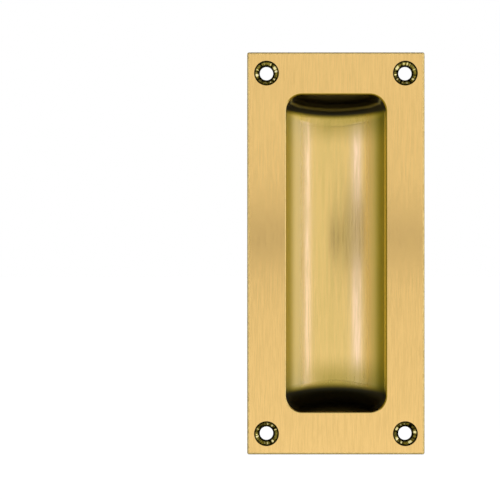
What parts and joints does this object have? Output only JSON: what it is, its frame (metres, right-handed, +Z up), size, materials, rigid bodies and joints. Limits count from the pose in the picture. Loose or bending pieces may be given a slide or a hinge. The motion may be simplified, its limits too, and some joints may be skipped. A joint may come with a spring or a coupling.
{
  "type": "pocket door pull",
  "caption": "Flush brass pull for a sliding pocket door: flat rectangular plate with a deep rounded finger recess and countersunk screw holes in its corners.",
  "frame": {"origin": "centre of the screw pattern, on the back of the plate, which sits on the door's face", "axes": "+Z up the plate, its long side; +X across the plate; +Y into the door, so the open side of the recess faces -Y"},
  "size_m": [0.045, 0.0146, 0.102],
  "materials": {
    "brass": "satin, brushed up and down the plate"
  },
  "bodies": {
    "root": {"flush_pull": "brass"}
  },
  "joints": []
}
